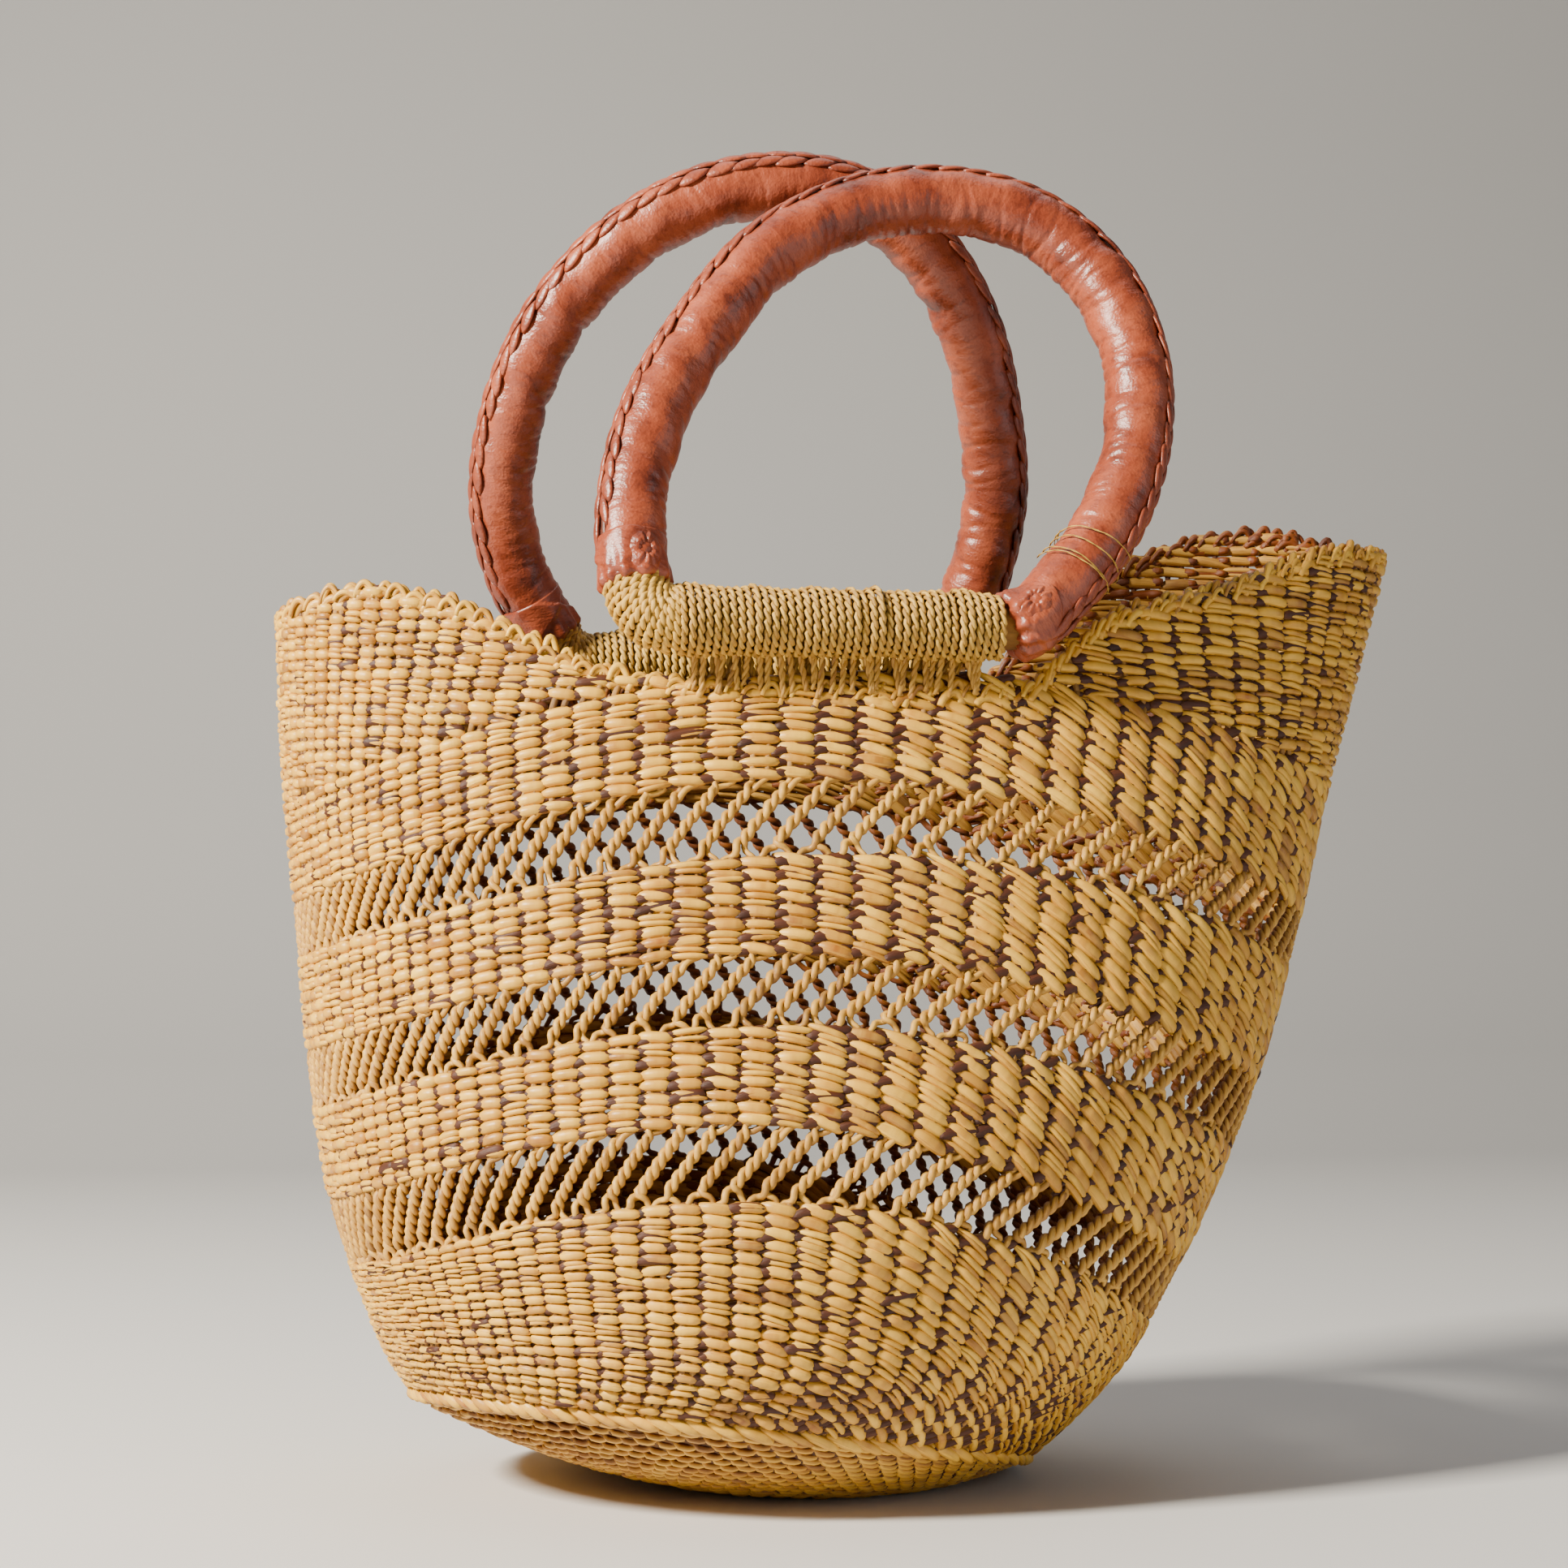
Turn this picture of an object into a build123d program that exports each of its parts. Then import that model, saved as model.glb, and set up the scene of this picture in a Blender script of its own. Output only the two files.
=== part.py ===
"""Woven market basket: a straw shopper with three openwork bands and two leather-covered handles.

Frame: origin in the flat patch under the base, +X along the basket's length, -Y its front, +Z up.
Lengths are in millimetres and angles in degrees.
"""

import math
import os

from build123d import *

# ---- driving dimensions -------------------------------------------------------------------
wall = 5.0  # thickness of the twined wall
column_count = 96  # warp columns round the basket
column_crowding = 0.25  # how much closer they stand at the left end than evenly spaced ones
span = 170.0  # half width of the cutting slabs, well past the basket's sides

# The basket's outer form: height, centre in x, half length, half width of each level section.
levels = (
    (60, -1.6, 145, 112),
    (100, 2, 163, 118),
    (150, 8.5, 178.5, 113),
    (200, 14, 189, 99),
    (250, 18, 198, 83),
    (300, 24, 207, 67),
    (350, 30, 215, 55),
    (385, 33.5, 219.5, 49),
)

# The ridge cord where the wall turns into the base lies in a tilted plane.
ridge_centre = (-18, 0, 20.3)
ridge_slope = (0.13, 0.12)  # fall per millimetre along +X and +Y
ridge_half_length = 114.0
ridge_half_width = 97.0
ridge_height = 5.0
ridge_proud = 1.5
foot_centre = (18, 8)
foot_half_length = 56.0
foot_half_width = 52.0
dish_centre = (22, 6)  # a level between the foot and the ridge, from the ridge's centre
dish_half_length = 93.0
dish_half_width = 79.0
dish_share = 0.4  # of the ridge's height and slope

# Borders between solid and open bands: left, middle and right point of an arc in x and z.
border_1 = ((-155, 81), (-50, 110), (142, 52))
border_2 = ((-162, 104), (-45, 135), (155, 74))
border_3 = ((-168, 137), (-20, 168), (180, 114))
border_4 = ((-172, 156), (-15, 192), (188, 140))
border_5 = ((-180, 188), (-5, 226), (207, 182))
border_6 = ((-183, 206), (-5, 253), (215, 200))
gusset_line = ((-185, 243), (8, 291), (219, 254))  # first of the short rows that lift the ends
gusset_split = 5.0  # x of the plane between the left and right gussets

# Rim height along x, on the front and on the back.
rim_front = ((-200, 309), (-152, 323), (-112, 314), (-76, 296), (-35, 290), (58, 289))
rim_front += ((85, 292), (102, 308), (120, 317), (150, 317), (176, 319), (205, 329), (240, 341), (270, 340))
rim_back = ((-200, 309), (-150, 328), (-112, 316), (-78, 297), (-35, 290), (58, 289))
rim_back += ((85, 292), (102, 307), (125, 331), (150, 358), (176, 376), (205, 380), (240, 359), (270, 345))
rim_height = 5.0
rim_proud = 0.8
rim_depth_y = 90.0  # the two rim lines lie this far in front and behind
sky = 420.0  # a height well over the basket

rope_radius = 1.7
rope_lean = 2.0  # columns that a rope shifts between its lower and its upper border
rope_overrun = 12.0

# Handles
bar_y = 72.0
bar_z = 308.0
lean = 19.0  # each loop leans inwards until it almost touches the other
core_radius = 8.5
leather_radius = 12.5
sleeve_gap = 0.08  # between the core and what is wrapped tightly round it
bar_wrap_radius = 13.0
running_gap = 0.06  # radial clearance in which the core turns inside the straw sleeve
end_gap = 1.5  # between the straw sleeve and the corner wraps that turn beside it
corner_wrap_radius = 12.3
lace_radius = 1.2
lace_turn = 25.0  # the seam lies this far forward of the loop's outermost line
cap_radius = 13.4
cap_length = 16.0
lashing_radius = 14.1
lashing_width = 3.0
binding_pitch = 11.0
binding_radius = 1.5
binding_foot = 283.0
binding_head = 299.5

# Loop centre lines: the corners of each route in the loop's own plane, along the bar and up
# the loop, and the radius at each corner. The bar closes the route.
front_route = ((-60, 0), (-61, 56), (8, 175), (92, 184), (137, 118), (128, 62), (100, 22), (76, 0))
front_radii = (13, 70, 60, 55, 60, 80, 60, 13)
rear_route = ((-69, 0), (-108, 62), (-88, 146), (0, 202), (84, 160), (104, 66), (82, 0))
rear_radii = (13, 60, 70, 75, 70, 75, 13)


def section_at(z):
    """Centre, half length and half width of the outer form at one height."""
    for low, high in zip(levels, levels[1:]):
        if z <= high[0]:
            part_way = (z - low[0]) / (high[0] - low[0])
            return [a + (b - a) * part_way for a, b in zip(low[1:], high[1:])]
    return levels[-1][1:]


def border_height(border, x):
    """Height of a border arc at x, from the circle through its three points."""
    (x1, z1), (x2, z2), (x3, z3) = border
    slope = (z3 - z1) / (x3 - x1)
    sag = (z2 - z1 - slope * (x2 - x1)) / ((x2 - x1) * (x2 - x3))
    return z1 + slope * (x - x1) + sag * (x - x1) * (x - x3)


def wall_point(angle, border):
    """Middle of the wall at one angle round the basket, on a border."""
    z = border[1][1]
    for _ in range(8):
        centre, half_length, half_width = section_at(z)
        x = centre + (half_length - wall / 2) * math.cos(angle)
        z = border_height(border, x)
    return Vector(x, (half_width - wall / 2) * math.sin(angle), z)


def save(piece, label):
    """Label one finished piece and write its STEP file."""
    piece.part.label = label
    export_step(piece.part, f"parts/{label}.step")


os.makedirs("parts", exist_ok=True)


def ridge_plane(rise=0.0, share=1.0):
    """The ridge's plane moved up by rise. A share below 1 gives it that share of the slope."""
    x_direction = Vector(1, 0, -ridge_slope[0] * share)
    normal = Vector(ridge_slope[0] * share, ridge_slope[1] * share, 1)
    middle = Vector(ridge_centre[0], ridge_centre[1], ridge_centre[2] * share + rise)
    return Plane(origin=middle, x_dir=x_direction, z_dir=normal)


# ---- the basket's wall as one shell, from which each band is cut ----------------------------
def wall_form(inset):
    """The solid inside the outer form, drawn in by inset."""
    with BuildPart() as form:
        with BuildSketch(ridge_plane(-inset)):
            Ellipse(ridge_half_length - inset, ridge_half_width - inset)
        for z, centre, half_length, half_width in levels:
            with BuildSketch(Plane.XY.offset(z)):
                with Locations((centre, 0)):
                    Ellipse(half_length - inset, half_width - inset)
        loft()
    return form.part


with BuildPart() as shell:
    add(wall_form(0))
    add(wall_form(wall), mode=Mode.SUBTRACT)

with BuildPart() as proud_shell:
    add(wall_form(-rim_proud))
    add(wall_form(wall + rim_proud), mode=Mode.SUBTRACT)


def over_rim(drop):
    """Everything over the rim surface, lowered by drop."""
    with BuildPart() as over:
        for offset_y, line in ((rim_depth_y, rim_front), (-rim_depth_y, rim_back)):
            with BuildSketch(Plane.XZ.offset(offset_y)):
                with BuildLine():
                    top = Spline(*[(x, z - drop) for x, z in line])
                    Polyline(top @ 0, (line[0][0], sky), (line[-1][0], sky), top @ 1)
                make_face()
        loft(ruled=True)
    return over.part


over_rim_top = over_rim(0)
over_wall_top = over_rim(rim_height)


def band_sketch(low, high):
    """Outline between two borders, behind the basket, carried level past both of its ends."""
    with BuildSketch(Plane.XZ.offset(-span)) as outline:
        with BuildLine():
            ThreePointArc(*low)
            Polyline(low[0], (-side, low[0][1]), (-side, high[0][1]), high[0])
            ThreePointArc(*high)
            Polyline(low[2], (side, low[2][1]), (side, high[2][1]), high[2])
        make_face()
    return outline.sketch


def band(low, high, stock, label):
    """The part of the stock between two borders, as a finished piece."""
    with BuildPart() as piece:
        add(stock)
        extrude(band_sketch(low, high), amount=2 * span, dir=(0, -1, 0), mode=Mode.INTERSECT)
    save(piece, label)


side = 300.0  # x of the outlines' ends, well past the basket's
below_all = ((-250, -60), (0, -50), (250, -60))
above_all = ((-250, 420), (0, 430), (250, 420))

# ---- base and ridge ------------------------------------------------------------------------
def base_form(rise, inset):
    """The solid above the dished base, raised by rise and drawn in by inset."""
    with BuildPart() as form:
        with BuildSketch(Plane.XY.offset(rise)):
            with Locations(foot_centre):
                Ellipse(foot_half_length - inset, foot_half_width - inset)
        with BuildSketch(ridge_plane(rise, dish_share)):
            with Locations(dish_centre):
                Ellipse(dish_half_length - inset, dish_half_width - inset)
        with BuildSketch(ridge_plane(rise)):
            Ellipse(ridge_half_length - inset, ridge_half_width - inset)
        loft()
    return form.part


with BuildPart() as base_weave:
    add(base_form(0, 0))
    add(base_form(wall, wall * 0.7), mode=Mode.SUBTRACT)
    split(bisect_by=ridge_plane(-ridge_height / 2), keep=Keep.BOTTOM)
save(base_weave, "base_weave")

with BuildPart() as base_ridge:
    with BuildSketch(ridge_plane(-ridge_height / 2)):
        Ellipse(ridge_half_length + ridge_proud, ridge_half_width + ridge_proud)
        inset = wall + ridge_proud
        Ellipse(ridge_half_length - inset, ridge_half_width - inset, mode=Mode.SUBTRACT)
    extrude(amount=ridge_height * ridge_plane().z_dir.Z)
    fillet(base_ridge.edges(), 1.5)
save(base_ridge, "base_ridge")

# ---- twined bands --------------------------------------------------------------------------
with BuildPart() as trimmed:
    add(shell.part)
    add(over_wall_top, mode=Mode.SUBTRACT)
    split(bisect_by=ridge_plane(ridge_height / 2), keep=Keep.TOP)

band(below_all, border_1, trimmed.part, "lower_band")
band(border_2, border_3, trimmed.part, "middle_band_lower")
band(border_4, border_5, trimmed.part, "middle_band_upper")
band(border_6, gusset_line, trimmed.part, "upper_band")

for label, keep in (("left_gusset", Keep.BOTTOM), ("right_gusset", Keep.TOP)):
    with BuildPart() as gusset_stock:
        add(trimmed.part)
        split(bisect_by=Plane.YZ.offset(gusset_split), keep=keep)
    band(gusset_line, above_all, gusset_stock.part, label)

with BuildPart() as rim_border:
    add(proud_shell.part)
    add(over_wall_top, mode=Mode.INTERSECT)
    add(over_rim_top, mode=Mode.SUBTRACT)
save(rim_border, "rim_border")

# ---- openwork ------------------------------------------------------------------------------
def column_turn(column):
    """Angle round the basket of one warp column."""
    even = column * 2 * math.pi / column_count
    return even + column_crowding * math.sin(even)


def openwork(low, high, label):
    """Twisted warp ropes that cross an open band, each as a straight rod between its borders."""
    places = []
    for column in range(column_count):
        foot = wall_point(column_turn(column), low)
        # The lean goes from left to right on the front, so it runs the other way at the back.
        head = wall_point(column_turn(column + rope_lean), high)
        places.append(Plane(origin=(foot + head) / 2, z_dir=head - foot))
    rod_length = max((high[i][1] - low[i][1]) for i in range(3)) + 2 * rope_overrun
    with BuildPart() as ropes:
        with Locations(*places):
            Cylinder(rope_radius, rod_length)
        extrude(band_sketch(low, high), amount=2 * span, dir=(0, -1, 0), mode=Mode.INTERSECT)
    save(ropes, label)


openwork(border_1, border_2, "openwork_lower")
openwork(border_3, border_4, "openwork_middle")
openwork(border_5, border_6, "openwork_upper")

# ---- handles -------------------------------------------------------------------------------
def tube(edges, outer, inner, label):
    """A round tube along a run of edges, saved as one piece."""
    path = Wire(edges)
    with BuildPart() as piece:
        with BuildSketch(Plane(origin=path @ 0, z_dir=path % 0)):
            Circle(outer)
            Circle(inner, mode=Mode.SUBTRACT)
        sweep(path=path)
    save(piece, label)


def ring_round(edge, from_end, width, outer, inner, label):
    """A collar of one width round the start, or the end, of a straight edge."""
    at = edge @ 1 if from_end else edge @ 0
    along = (edge % 0) * (-1 if from_end else 1)
    with BuildPart() as piece:
        with BuildSketch(Plane(origin=at, z_dir=along)):
            Circle(outer)
            Circle(inner, mode=Mode.SUBTRACT)
        extrude(amount=width)
    save(piece, label)


def handle(name, side_sign, route, radii):
    """One handle with all that is fixed to it, and the straw sleeve and binding that hold it."""
    tilt = math.radians(lean)
    up_the_loop = Vector(0, -side_sign * math.sin(tilt), math.cos(tilt))
    bar_centre = Vector(0, side_sign * bar_y, bar_z)
    loop_normal = Vector(1, 0, 0).cross(up_the_loop)
    loop_plane = Plane(origin=bar_centre, x_dir=(1, 0, 0), z_dir=loop_normal)

    with BuildLine(loop_plane) as ring:
        FilletPolyline(*route, radius=radii, close=True)
    # The bar is the straight edge that lies lowest. The loop goes from its left end to its right.
    bar = ring.edges().sort_by(Axis.Z)[0]
    bar_left, bar_right = sorted((bar @ 0, bar @ 1), key=lambda point: point.X)
    loop = Wire(ring.edges().filter_by(lambda edge: (edge @ 0.5 - bar @ 0.5).length > 1)).order_edges()
    leather_run = loop[1:-1]
    lace_run = loop[2:-2]
    inner = core_radius + sleeve_gap

    with BuildPart() as core:
        with BuildSketch(Plane(origin=bar_left, z_dir=loop[0] % 0)):
            Circle(core_radius)
        sweep(path=Wire(loop))
        with BuildSketch(Plane(origin=bar_left, z_dir=(1, 0, 0))):
            Circle(core_radius)
        extrude(amount=(bar_right - bar_left).length)
    save(core, f"{name}_handle_core")

    tube(leather_run, leather_radius, inner, f"{name}_handle_leather")
    tube([loop[0]], corner_wrap_radius, inner, f"{name}_left_corner_wrap")
    # The leather goes on round the front handle's right corner, where the others have straw.
    right_corner_radius = leather_radius if side_sign < 0 else corner_wrap_radius
    tube([loop[-1]], right_corner_radius, inner, f"{name}_right_corner_wrap")
    cap_bore = leather_radius + sleeve_gap
    ring_round(loop[1], False, cap_length, cap_radius, cap_bore, f"{name}_left_end_cap")
    ring_round(loop[-2], True, cap_length, cap_radius, cap_bore, f"{name}_right_end_cap")
    if side_sign < 0:
        lashing_bore = cap_radius + sleeve_gap
        label = f"{name}_right_lashing"
        ring_round(loop[-2], True, lashing_width, lashing_radius, lashing_bore, label)

    lace_path = Wire(lace_run)
    outward = loop_normal.cross(lace_path % 0)
    with BuildPart() as lace:
        with BuildSketch(Plane(origin=lace_path @ 0, x_dir=outward, z_dir=lace_path % 0)):
            with PolarLocations(leather_radius + lace_radius + sleeve_gap, 1, start_angle=lace_turn):
                Circle(lace_radius)
        sweep(path=lace_path)
    save(lace, f"{name}_seam_lace")

    # What stays with the basket: the straw sleeve on the bar, and the binding down to the rim.
    sleeve_left = bar_left.X + end_gap
    sleeve_right = bar_right.X - end_gap
    with BuildPart() as bar_wrap:
        with BuildSketch(Plane(origin=bar_left + Vector(end_gap, 0, 0), z_dir=(1, 0, 0))):
            Circle(bar_wrap_radius)
            Circle(core_radius + running_gap, mode=Mode.SUBTRACT)
        extrude(amount=sleeve_right - sleeve_left)
    save(bar_wrap, f"{name}_bar_wrap")

    count = int((sleeve_right - sleeve_left) / binding_pitch)
    first_x = (sleeve_left + sleeve_right - (count - 1) * binding_pitch) / 2
    centre, half_length, half_width = section_at(binding_foot)
    posts = []
    for i in range(count):
        x = first_x + i * binding_pitch
        share = (x - centre) / (half_length - wall / 2)
        y = side_sign * (half_width - wall / 2) * math.sqrt(1 - share**2)
        posts.append((x, y, binding_foot))
    with BuildPart() as binding:
        with Locations(*posts):
            height = binding_head - binding_foot
            Cylinder(binding_radius, height, align=(Align.CENTER, Align.CENTER, Align.MIN))
    save(binding, f"{name}_binding")


handle("front", -1, front_route, front_radii)
handle("rear", 1, rear_route, rear_radii)
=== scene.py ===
"""Woven market basket: every stitch, rope and leather piece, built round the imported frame."""

import math

import bpy
import numpy as np
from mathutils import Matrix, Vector


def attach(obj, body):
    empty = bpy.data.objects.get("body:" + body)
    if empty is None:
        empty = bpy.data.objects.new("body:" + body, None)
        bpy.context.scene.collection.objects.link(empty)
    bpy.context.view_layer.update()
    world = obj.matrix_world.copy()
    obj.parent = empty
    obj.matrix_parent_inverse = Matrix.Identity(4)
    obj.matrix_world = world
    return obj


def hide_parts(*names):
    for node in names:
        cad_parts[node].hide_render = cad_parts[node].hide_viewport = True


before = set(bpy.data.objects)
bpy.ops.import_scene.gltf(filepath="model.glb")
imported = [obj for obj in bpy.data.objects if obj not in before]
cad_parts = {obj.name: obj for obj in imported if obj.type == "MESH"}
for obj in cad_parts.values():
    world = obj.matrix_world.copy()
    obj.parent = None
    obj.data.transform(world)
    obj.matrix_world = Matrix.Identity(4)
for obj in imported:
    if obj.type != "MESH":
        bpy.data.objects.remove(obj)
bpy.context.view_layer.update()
MM = 0.001
TURN = 2 * math.pi
rng = np.random.default_rng(11)

# ---- the basket's form, the same driving sizes as the CAD model, in millimetres ---------------
COLUMNS = 96
PITCH = TURN / COLUMNS
WALL = 5.0
LEVELS = np.array([
    (60, -1.6, 145, 112), (100, 2, 163, 118), (150, 8.5, 178.5, 113), (200, 14, 189, 99),
    (250, 18, 198, 83), (300, 24, 207, 67), (350, 30, 215, 55), (385, 33.5, 219.5, 49),
], float)
RIDGE_CENTRE = (-18.0, 0.0, 20.3)
RIDGE_SLOPE = (0.13, 0.12)
RIDGE_HALF = (114.0, 97.0)
FOOT_CENTRE = (18.0, 8.0)
FOOT_HALF = (56.0, 52.0)
BORDERS = (
    ((-155, 81), (-50, 110), (142, 52)),
    ((-162, 104), (-45, 135), (155, 74)),
    ((-168, 137), (-20, 168), (180, 114)),
    ((-172, 156), (-15, 192), (188, 140)),
    ((-180, 188), (-5, 226), (207, 182)),
    ((-183, 206), (-5, 253), (215, 200)),
)
GUSSET_LINE = ((-185, 243), (8, 291), (219, 254))
RIM_FRONT = ((-200, 309), (-152, 323), (-112, 314), (-76, 296), (-35, 290), (58, 289), (85, 292),
             (102, 308), (120, 317), (150, 317), (176, 319), (205, 329), (240, 341), (270, 340))
RIM_BACK = ((-200, 309), (-150, 328), (-112, 316), (-78, 297), (-35, 290), (58, 289), (85, 292),
            (102, 307), (125, 331), (150, 358), (176, 376), (205, 380), (240, 359), (270, 345))
RIM_DEPTH_Y = 90.0  # how far out the front and back rim lines apply in full
RIM_CORD = 5.0  # height of the folded edge
ROPE_LEAN = 2.0  # columns that a rope leans over between its two bands
CROWDING = 0.25  # how much closer the columns stand at the left end
BASKET, TWINED, ROPED, CORDED = "basket", "twined_straw", "straw_rope", "straw_cord"


def unit(v):
    """Vectors scaled to length 1 along the last axis."""
    return v / np.maximum(np.linalg.norm(v, axis=-1, keepdims=True), 1e-9)


def smooth_through(xs, ys, x):
    """The height at x of a smooth curve through (xs, ys)."""
    xs, ys = np.asarray(xs, float), np.asarray(ys, float)
    slopes = np.gradient(ys, xs)
    x = np.clip(x, xs[0], xs[-1])
    i = np.clip(np.searchsorted(xs, x) - 1, 0, len(xs) - 2)
    h = xs[i + 1] - xs[i]
    t = (x - xs[i]) / h
    a, b, ma, mb = ys[i], ys[i + 1], slopes[i] * h, slopes[i + 1] * h
    return (a * (1 + 2 * t) * (1 - t) ** 2 + ma * t * (1 - t) ** 2
            + b * t * t * (3 - 2 * t) - mb * t * t * (1 - t))


def arc_length(points):
    """The length run along a line of points, at each of them."""
    return np.concatenate([[0], np.cumsum(np.linalg.norm(np.diff(points, axis=0), axis=1))])


def along(at, length, values):
    """The values at given lengths along a line of points."""
    return np.stack([np.interp(at, length, values[:, k]) for k in range(values.shape[1])], -1)


def fade(t):
    """0 below 0, 1 above 1, smooth between."""
    t = np.clip(t, 0, 1)
    return t * t * (3 - 2 * t)


def spread(angle):
    """Angle of a warp column: they stand closer together at the basket's left end."""
    return angle + CROWDING * np.sin(angle)


def ridge_height(x, y):
    """Height of the tilted ridge plane."""
    return RIDGE_CENTRE[2] - RIDGE_SLOPE[0] * (x - RIDGE_CENTRE[0]) - RIDGE_SLOPE[1] * y


def ridge_point(angle, inset=0.0):
    """A point of the ridge ellipse, drawn in by inset."""
    angle = spread(angle)
    x = RIDGE_CENTRE[0] + (RIDGE_HALF[0] - inset) * np.cos(angle)
    y = (RIDGE_HALF[1] - inset) * np.sin(angle)
    return np.stack([x, y, ridge_height(x, y)], -1)


def section_at(z):
    """Centre, half length and half width of the outer form at a height."""
    return (smooth_through(LEVELS[:, 0], LEVELS[:, k], z) for k in (1, 2, 3))


def level_point(angle, z, inset):
    """A point of the outer form at a height, drawn in by inset."""
    angle = spread(angle)
    c, a, b = section_at(z)
    x, y = c + (a - inset) * np.cos(angle), (b - inset) * np.sin(angle)
    return np.stack([x, y, z + 0 * angle], -1)


def wall_point(angle, z, inset=0.0):
    """A point of the wall. Below the lowest level it bends in to the ridge."""
    angle, z, inset = np.broadcast_arrays(np.asarray(angle, float), z, inset)
    upper = level_point(angle, np.maximum(z, LEVELS[0, 0]), inset)
    foot = ridge_point(angle, inset)
    knee = level_point(angle, np.full_like(angle, LEVELS[0, 0]), inset)
    rise = (level_point(angle, np.full_like(angle, LEVELS[0, 0] + 4), inset) - knee) / 4
    reach = knee[..., 2] - foot[..., 2]
    t = ((z - foot[..., 2]) / reach)[..., None]
    bend = knee - rise * reach[..., None] / 2
    lower = foot * (1 - t) ** 2 + 2 * t * (1 - t) * bend + knee * t * t
    return np.where((z < LEVELS[0, 0])[..., None], lower, upper)


def wall_normal(angle, z):
    """The wall's outward normal."""
    east = wall_point(angle + 0.004, z) - wall_point(angle - 0.004, z)
    north = wall_point(angle, z + 0.5) - wall_point(angle, z - 0.5)
    return unit(np.cross(east, north))


def border_height(border, x):
    """Height of a border at x: the parabola through its three points."""
    (x1, z1), (x2, z2), (x3, z3) = border
    slope = (z3 - z1) / (x3 - x1)
    sag = (z2 - z1 - slope * (x2 - x1)) / ((x2 - x1) * (x2 - x3))
    return z1 + slope * (x - x1) + sag * (x - x1) * (x - x3)


def rim_height(x, y):
    """Height of the rim: the front line blends into the back line across the basket."""
    front, back = (smooth_through(*zip(*line), x) for line in (RIM_FRONT, RIM_BACK))
    share = (y + RIM_DEPTH_Y) / (2 * RIM_DEPTH_Y)
    return front * (1 - share) + back * share


SETTLE_FROM, SETTLE_ROUNDS = 180.0, 9


def settle(angle, rule):
    """The height at which the wall meets a rule that gives height from x and y."""
    z = np.full(np.shape(angle), SETTLE_FROM)
    for _ in range(SETTLE_ROUNDS):
        p = wall_point(angle, z, WALL / 2)
        z = rule(p[..., 0], p[..., 1], angle)
    return z


def line_rule(border):
    """A border as a rule for settle."""
    return lambda x, y, angle: border_height(border, x)


def rim_rule(x, y, angle):
    """The rim as a rule for settle."""
    return rim_height(x, y)


def ridge_rule(x, y, angle):
    """The ridge as a rule for settle."""
    return ridge_point(angle)[..., 2] + 2.0


# ---- meshes -------------------------------------------------------------------------------
def linked(name, data):
    """A new object in the scene."""
    made = bpy.data.objects.new(name, data)
    bpy.context.scene.collection.objects.link(made)
    return made


def make_object(name, points, faces, grain, material):
    """A mesh object from points in millimetres. grain is kept on each point for the material."""
    mesh = bpy.data.meshes.new(name)
    mesh.from_pydata((points * MM).tolist(), [], faces)
    kept = mesh.attributes.new("grain", "FLOAT_VECTOR", "POINT")
    kept.data.foreach_set("vector", grain.astype(np.float32).ravel())
    mesh.shade_smooth()
    mesh.materials.append(material)
    return linked(name, mesh)


def skin(index):
    """Quads between the rings of a tube, from the ring points' numbers as (steps, ring)."""
    here, there = index[:-1], index[1:]
    return np.stack([here, there, np.roll(there, -1, 1), np.roll(here, -1, 1)], -1).reshape(-1, 4)


def tube_arrays(centre, up, half_width, half_thick, ring, seed):
    """Points, faces and grain of many tubes at once. centre and up are (tubes, steps, 3)."""
    n, m = centre.shape[:2]
    tangent = unit(np.gradient(centre, axis=1))
    side = unit(np.cross(tangent, up))
    lift = np.cross(side, tangent)
    turn = np.arange(ring) * TURN / ring - math.pi / 2
    half_width = np.broadcast_to(half_width, (n, m))[..., None, None]
    half_thick = np.broadcast_to(half_thick, (n, m))[..., None, None]
    spoke_a = np.cos(turn)[None, None, :, None] * side[:, :, None] * half_width
    spoke_b = np.sin(turn)[None, None, :, None] * lift[:, :, None] * half_thick
    points = centre[:, :, None] + spoke_a + spoke_b
    step = np.linalg.norm(np.diff(centre, axis=1), axis=2)
    length = np.concatenate([np.zeros((n, 1)), np.cumsum(step, 1)], 1)
    grain = np.empty((n, m, ring, 3))
    grain[..., 0] = length[:, :, None]
    # 0 on a tube's top, 0.5 underneath: the straw material paints shade from this value.
    grain[..., 1] = np.abs(np.arange(ring) / ring - 0.5)[None, None]
    grain[..., 2] = np.broadcast_to(np.asarray(seed, float), (n,))[:, None, None]
    index = np.arange(n * m * ring).reshape(n, m, ring)
    here, there = index[:, :-1], index[:, 1:]
    quads = np.stack([here, np.roll(here, -1, 2), np.roll(there, -1, 2), there], -1).reshape(-1, 4)
    faces = quads.tolist() + index[:, 0, ::-1].tolist() + index[:, -1].tolist()
    return points.reshape(-1, 3), faces, grain.reshape(-1, 3)


def tubes(name, material, batches, ring=7):
    """One object from batches of tubes. A batch is (centre, up, half width, half thickness)."""
    points, faces, grains, count = [], [], [], 0
    for centre, up, half_width, half_thick in batches:
        seed = rng.random(len(centre))
        up = np.broadcast_to(up, centre.shape)
        p, f, g = tube_arrays(centre, up, half_width, half_thick, ring, seed)
        points.append(p)
        grains.append(g)
        faces += [[i + count for i in face] for face in f]
        count += len(p)
    return make_object(name, np.concatenate(points), faces, np.concatenate(grains), material)


# ---- materials ------------------------------------------------------------------------------
def node(tree, kind, **values):
    """A shader node with its input values and settings set by name."""
    made = tree.nodes.new(kind)
    for key, value in values.items():
        key = key.replace("_", " ")
        if key in made.inputs:
            made.inputs[key].default_value = value
        else:
            setattr(made, key.replace(" ", "_"), value)
    return made


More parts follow.
